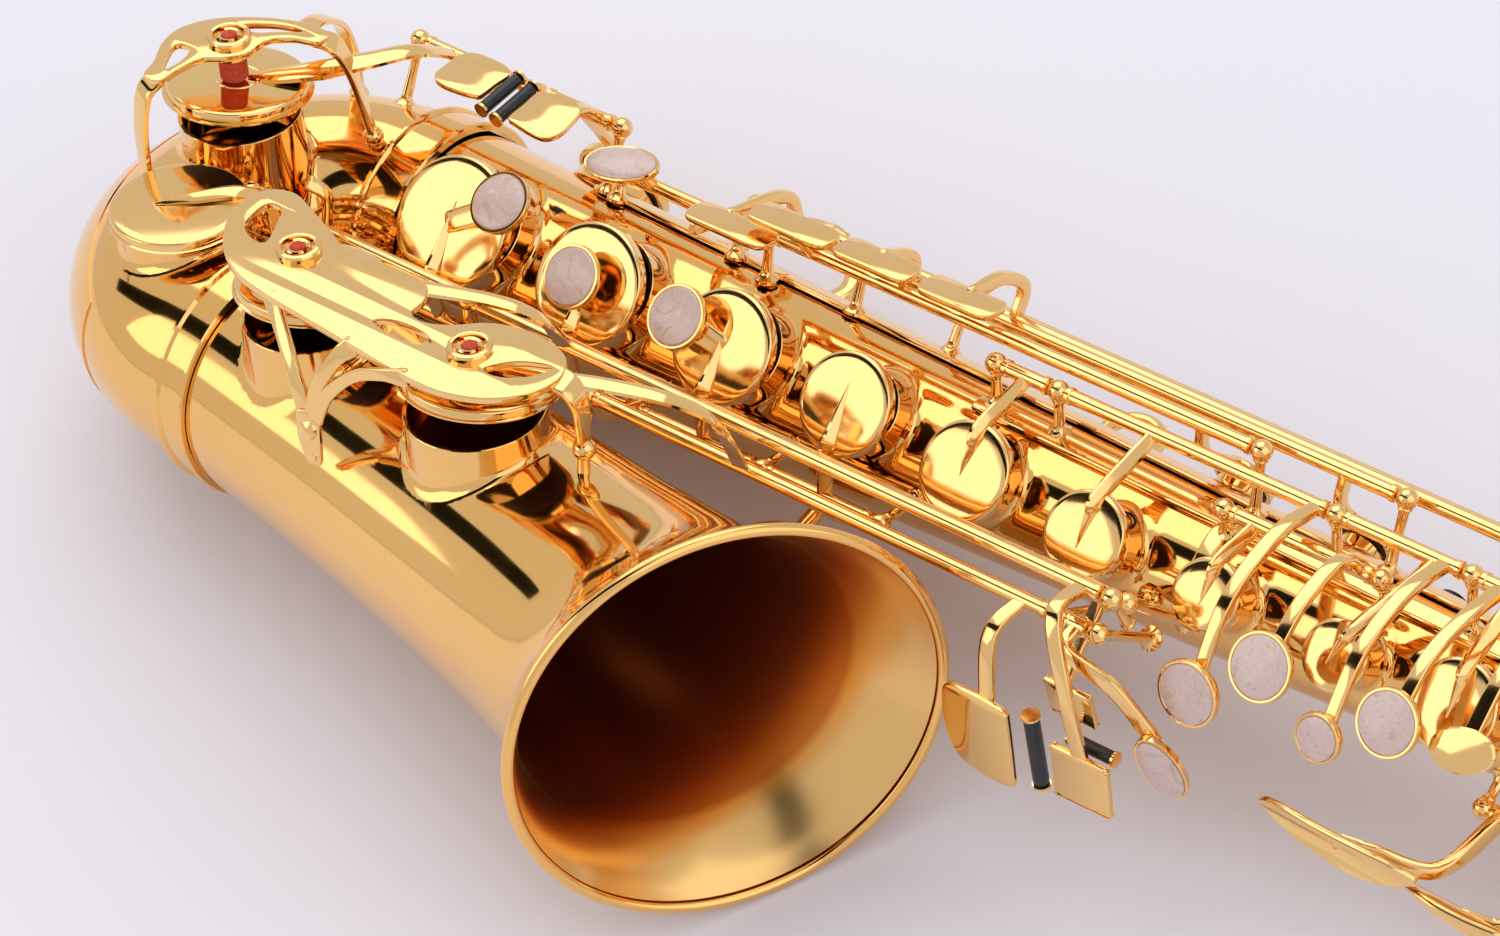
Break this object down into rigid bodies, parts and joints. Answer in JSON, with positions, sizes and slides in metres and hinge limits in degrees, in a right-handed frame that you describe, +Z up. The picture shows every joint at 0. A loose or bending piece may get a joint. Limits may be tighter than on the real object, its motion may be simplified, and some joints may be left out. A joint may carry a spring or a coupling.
{
  "type": "alto saxophone",
  "caption": "Alto saxophone on its side: conical hollow tube with bow, flared bell, neck and mouthpiece, guarded pad keys on long rods, pearl touches and rollers.",
  "frame": {"origin": "on the floor plane, under the middle of the bounding box of the resting instrument", "axes": "+Z up; +X along the body tube from the bow to the neck, nearly level; -Y towards the bell; the player's right side faces up"},
  "size_m": [0.6854, 0.389, 0.1254],
  "materials": {
    "lacquer": "polished gold lacquer",
    "pearl": "pinkish mother of pearl",
    "roller": "polished black",
    "ebonite": "polished black",
    "cork": "matt cork",
    "cane": "bare cane"
  },
  "bodies": {
    "horn": {"body_tube": "lacquer", "bow": "lacquer", "bell": "lacquer", "body_bow_ring": "lacquer", "bell_bow_ring": "lacquer", "bell_brace": "lacquer", "bell_key_guard": "lacquer", "low_c_guard": "lacquer", "rh_post_rib": "lacquer", "lh_post_rib": "lacquer", "side_post_rib": "lacquer", "thumb_hook": "lacquer", "strap_ring": "lacquer"},
    "neck_screw": {"neck_screw": "lacquer"},
    "neck": {"neck_tube": "lacquer", "neck_cork": "cork"},
    "neck_octave_key": {"neck_octave_key": "lacquer"},
    "mouthpiece": {"ligature": "lacquer", "mouthpiece": "ebonite", "reed": "cane"},
    "d_key": {"d_key": "lacquer", "d_pearl": "pearl"},
    "e_key": {"e_key": "lacquer", "e_pearl": "pearl"},
    "f_key": {"f_key": "lacquer", "f_pearl": "pearl"},
    "fsharp_key": {"fsharp_key": "lacquer"},
    "gsharp_key": {"gsharp_key": "lacquer"},
    "g_key": {"g_key": "lacquer", "g_pearl": "pearl"},
    "a_key": {"a_key": "lacquer", "a_pearl": "pearl"},
    "bis_key": {"bis_key": "lacquer", "bis_pearl": "pearl"},
    "b_key": {"b_key": "lacquer", "b_pearl": "pearl"},
    "c_key": {"c_key": "lacquer"},
    "low_b_key": {"low_b_key": "lacquer"},
    "low_bb_key": {"low_bb_key": "lacquer"},
    "low_csharp_lever": {"low_csharp_lever": "lacquer"},
    "low_csharp_key": {"low_csharp_key": "lacquer"},
    "gsharp_lever": {"gsharp_lever": "lacquer", "gsharp_pearl": "pearl"},
    "low_c_key": {"low_c_key": "lacquer"},
    "low_eb_key": {"low_eb_key": "lacquer"},
    "alt_fsharp_key": {"alt_fsharp_key": "lacquer"},
    "high_fsharp_key": {"high_fsharp_key": "lacquer"},
    "side_bb_key": {"side_bb_key": "lacquer"},
    "side_c_key": {"side_c_key": "lacquer"},
    "high_e_key": {"high_e_key": "lacquer"},
    "palm_d_key": {"palm_d_key": "lacquer"},
    "palm_eb_key": {"palm_eb_key": "lacquer"},
    "palm_f_key": {"palm_f_key": "lacquer"},
    "front_f_key": {"front_f_key": "lacquer"},
    "octave_lever": {"octave_lever": "lacquer"},
    "octave_vent_key": {"octave_vent_key": "lacquer"},
    "c_roller": {"c_roller": "roller"},
    "eb_roller": {"eb_roller": "roller"},
    "bb_roller": {"bb_roller": "roller"},
    "b_roller": {"b_roller": "roller"}
  },
  "joints": [
    {"name": "d_key_turn", "type": "hinge", "parent": "horn", "child": "d_key", "pos_m": [-0.22853, -0.0656, 0.0463], "axis": [0.9989, 0.0107, 0.0459], "range_deg": [-10.69, 0], "stiffness_Nm_per_rad": 0.12, "springref_deg": 34.38},
    {"name": "e_key_turn", "type": "hinge", "parent": "horn", "child": "e_key", "pos_m": [-0.17959, -0.06507, 0.04855], "axis": [0.9989, 0.0107, 0.0459], "range_deg": [-9.92, 0], "stiffness_Nm_per_rad": 0.12, "springref_deg": 34.38},
    {"name": "f_key_turn", "type": "hinge", "parent": "horn", "child": "f_key", "pos_m": [-0.13264, -0.06457, 0.05071], "axis": [0.9989, 0.0107, 0.0459], "range_deg": [-9.15, 0], "stiffness_Nm_per_rad": 0.12, "springref_deg": 34.38},
    {"name": "fsharp_key_turn", "type": "hinge", "parent": "horn", "child": "fsharp_key", "pos_m": [-0.09069, -0.06412, 0.05264], "axis": [0.9989, 0.0107, 0.0459], "range_deg": [-8.88, 0], "stiffness_Nm_per_rad": 0.12, "springref_deg": 34.38},
    {"name": "gsharp_key_turn", "type": "hinge", "parent": "horn", "child": "gsharp_key", "pos_m": [-0.05324, -0.01725, 0.07641], "axis": [0.9989, 0.0107, 0.0459], "range_deg": [-6.06, 0], "stiffness_Nm_per_rad": 0.12, "springref_deg": 34.38},
    {"name": "g_key_turn", "type": "hinge", "parent": "horn", "child": "g_key", "pos_m": [-0.01129, -0.0168, 0.07834], "axis": [0.9989, 0.0107, 0.0459], "range_deg": [0, 6.76], "stiffness_Nm_per_rad": 0.2, "springref_deg": -34.38},
    {"name": "a_key_turn", "type": "hinge", "parent": "horn", "child": "a_key", "pos_m": [0.02799, -0.02571, 0.07538], "axis": [0.9989, 0.0107, 0.0459], "range_deg": [0, 9.18], "stiffness_Nm_per_rad": 0.12, "springref_deg": -34.38},
    {"name": "bis_key_turn", "type": "hinge", "parent": "horn", "child": "bis_key", "pos_m": [0.06763, -0.01596, 0.08197], "axis": [0.9989, 0.0107, 0.0459], "range_deg": [0, 5.88], "stiffness_Nm_per_rad": 0.12, "springref_deg": -34.38},
    {"name": "b_key_turn", "type": "hinge", "parent": "horn", "child": "b_key", "pos_m": [0.10259, -0.01558, 0.08358], "axis": [0.9989, 0.0107, 0.0459], "range_deg": [0, 5.94], "stiffness_Nm_per_rad": 0.12, "springref_deg": -34.38},
    {"name": "c_key_turn", "type": "hinge", "parent": "horn", "child": "c_key", "pos_m": [0.13255, -0.01526, 0.08496], "axis": [0.9989, 0.0107, 0.0459], "range_deg": [0, 7.14], "stiffness_Nm_per_rad": 0.12, "springref_deg": -34.38},
    {"name": "low_b_key_turn", "type": "hinge", "parent": "horn", "child": "low_b_key", "pos_m": [-0.2017, -0.07155, 0.07365], "axis": [0.9989, 0.0107, 0.0459], "range_deg": [0, 8.38], "stiffness_Nm_per_rad": 0.2, "springref_deg": -34.38},
    {"name": "low_bb_key_turn", "type": "hinge", "parent": "horn", "child": "low_bb_key", "pos_m": [-0.1532, -0.07858, 0.06993], "axis": [0.9989, 0.0107, 0.0459], "range_deg": [0, 8.19], "stiffness_Nm_per_rad": 0.2, "springref_deg": -34.38},
    {"name": "low_csharp_lever_turn", "type": "hinge", "parent": "horn", "child": "low_csharp_lever", "pos_m": [0.00833, -0.0647, 0.07659], "axis": [0.9989, 0.0107, 0.0459], "range_deg": [0, 6], "stiffness_Nm_per_rad": 0.2, "springref_deg": -34.38},
    {"name": "low_csharp_key_turn", "type": "hinge", "parent": "horn", "child": "low_csharp_key", "pos_m": [-0.27181, -0.07236, 0.07455], "axis": [0.9989, 0.0107, 0.0459], "range_deg": [-9.55, 0], "stiffness_Nm_per_rad": 0.12, "springref_deg": 34.38},
    {"name": "gsharp_lever_turn", "type": "hinge", "parent": "horn", "child": "gsharp_lever", "pos_m": [0.01042, -0.07682, 0.07746], "axis": [0.9989, 0.0107, 0.0459], "range_deg": [0, 5], "stiffness_Nm_per_rad": 0.12, "springref_deg": -34.38},
    {"name": "low_c_key_turn", "type": "hinge", "parent": "horn", "child": "low_c_key", "pos_m": [-0.26229, 0.00013, 0.06842], "axis": [0.9989, 0.0107, 0.0459], "range_deg": [0, 6.14], "stiffness_Nm_per_rad": 0.2, "springref_deg": -34.38},
    {"name": "low_eb_key_turn", "type": "hinge", "parent": "horn", "child": "low_eb_key", "pos_m": [-0.22633, 0.00052, 0.07007], "axis": [0.9989, 0.0107, 0.0459], "range_deg": [0, 6.79], "stiffness_Nm_per_rad": 0.2, "springref_deg": -34.38},
    {"name": "alt_fsharp_key_turn", "type": "hinge", "parent": "horn", "child": "alt_fsharp_key", "pos_m": [-0.19195, -0.00796, 0.06449], "axis": [0.9989, 0.0107, 0.0459], "range_deg": [0, 5], "stiffness_Nm_per_rad": 0.12, "springref_deg": -34.38},
    {"name": "high_fsharp_key_turn", "type": "hinge", "parent": "horn", "child": "high_fsharp_key", "pos_m": [-0.01043, 0.00772, 0.06389], "axis": [0.9989, 0.0107, 0.0459], "range_deg": [0, 6.74], "stiffness_Nm_per_rad": 0.2, "springref_deg": -34.38},
    {"name": "side_bb_key_turn", "type": "hinge", "parent": "horn", "child": "side_bb_key", "pos_m": [-0.06438, -0.00978, 0.07737], "axis": [0.9989, 0.0107, 0.0459], "range_deg": [0, 4.49], "stiffness_Nm_per_rad": 0.12, "springref_deg": -34.38},
    {"name": "side_c_key_turn", "type": "hinge", "parent": "horn", "child": "side_c_key", "pos_m": [-0.03079, -0.00226, 0.07459], "axis": [0.9989, 0.0107, 0.0459], "range_deg": [0, 5.18], "stiffness_Nm_per_rad": 0.12, "springref_deg": -34.38},
    {"name": "high_e_key_turn", "type": "hinge", "parent": "horn", "child": "high_e_key", "pos_m": [0.01436, 0.00349, 0.07114], "axis": [0.9989, 0.0107, 0.0459], "range_deg": [0, 5.87], "stiffness_Nm_per_rad": 0.2, "springref_deg": -34.38},
    {"name": "palm_d_key_turn", "type": "hinge", "parent": "horn", "child": "palm_d_key", "pos_m": [0.13585, -0.05071, 0.04336], "axis": [0.9989, 0.0107, 0.0459], "range_deg": [-6.23, 0], "stiffness_Nm_per_rad": 0.12, "springref_deg": 34.38},
    {"name": "palm_eb_key_turn", "type": "hinge", "parent": "horn", "child": "palm_eb_key", "pos_m": [0.17318, -0.04582, 0.0358], "axis": [0.9989, 0.0107, 0.0459], "range_deg": [-6.41, 0], "stiffness_Nm_per_rad": 0.12, "springref_deg": 34.38},
    {"name": "palm_f_key_turn", "type": "hinge", "parent": "horn", "child": "palm_f_key", "pos_m": [0.20133, -0.03812, 0.03152], "axis": [0.9989, 0.0107, 0.0459], "range_deg": [-6.65, 0], "stiffness_Nm_per_rad": 0.12, "springref_deg": 34.38},
    {"name": "front_f_key_turn", "type": "hinge", "parent": "horn", "child": "front_f_key", "pos_m": [0.11689, -0.02476, 0.07947], "axis": [0.9989, 0.0107, 0.0459], "range_deg": [0, 4], "stiffness_Nm_per_rad": 0.12, "springref_deg": -34.38},
    {"name": "octave_lever_turn", "type": "hinge", "parent": "horn", "child": "octave_lever", "pos_m": [0.14014, -0.01031, 0.02757], "axis": [0.9989, 0.0107, 0.0459], "range_deg": [0, 5], "stiffness_Nm_per_rad": 0.2, "springref_deg": -34.38},
    {"name": "octave_vent_key_turn", "type": "hinge", "parent": "horn", "child": "octave_vent_key", "pos_m": [0.13038, -0.02765, 0.02622], "axis": [0.9989, 0.0107, 0.0459], "range_deg": [-11.74, 0], "stiffness_Nm_per_rad": 0.12, "springref_deg": 34.38},
    {"name": "neck_turn", "type": "hinge", "parent": "horn", "child": "neck", "pos_m": [0.23913, -0.02351, 0.05506], "axis": [0.9989, 0.0107, 0.0459], "range_deg": [-25, 25]},
    {"name": "neck_octave_turn", "type": "hinge", "parent": "neck", "child": "neck_octave_key", "pos_m": [0.30906, -0.01302, 0.05601], "axis": [-0.0472, 0.2265, 0.9729], "range_deg": [-3, 0]},
    {"name": "neck_screw_turn", "type": "hinge", "parent": "horn", "child": "neck_screw", "pos_m": [0.23714, -0.00405, 0.05044], "axis": [-0.0472, 0.2265, 0.9729], "continuous": true},
    {"name": "c_roller_spin", "type": "hinge", "parent": "low_c_key", "child": "c_roller", "pos_m": [-0.23913, -0.01481, 0.08407], "axis": [-0.0055, 0.9936, -0.1127], "continuous": true},
    {"name": "eb_roller_spin", "type": "hinge", "parent": "low_eb_key", "child": "eb_roller", "pos_m": [-0.23387, -0.01502, 0.08314], "axis": [-0.0055, 0.9936, -0.1127], "continuous": true},
    {"name": "bb_roller_spin", "type": "hinge", "parent": "low_bb_key", "child": "bb_roller", "pos_m": [0.00535, -0.09617, 0.0442], "axis": [0.0469, -0.1203, -0.9916], "continuous": true},
    {"name": "b_roller_spin", "type": "hinge", "parent": "low_b_key", "child": "b_roller", "pos_m": [0.02276, -0.09294, 0.05231], "axis": [0.9989, 0.0107, 0.0459], "continuous": true},
    {"name": "mouthpiece_slide", "type": "slide", "parent": "neck", "child": "mouthpiece", "axis": [-0.1401, 0.9628, -0.231], "range_m": [-0.004, 0.008]}
  ],
  "couplings": [
    {"joint": "fsharp_key_turn", "follows": "f_key_turn", "ratio": 0.9664},
    {"joint": "gsharp_key_turn", "follows": "gsharp_lever_turn", "ratio": -1.2057},
    {"joint": "low_csharp_key_turn", "follows": "low_csharp_lever_turn", "ratio": -1.5835},
    {"joint": "c_key_turn", "follows": "b_key_turn", "ratio": 1.1949},
    {"joint": "octave_vent_key_turn", "follows": "octave_lever_turn", "ratio": -2.336},
    {"joint": "neck_octave_turn", "follows": "octave_lever_turn", "ratio": -0.59}
  ]
}
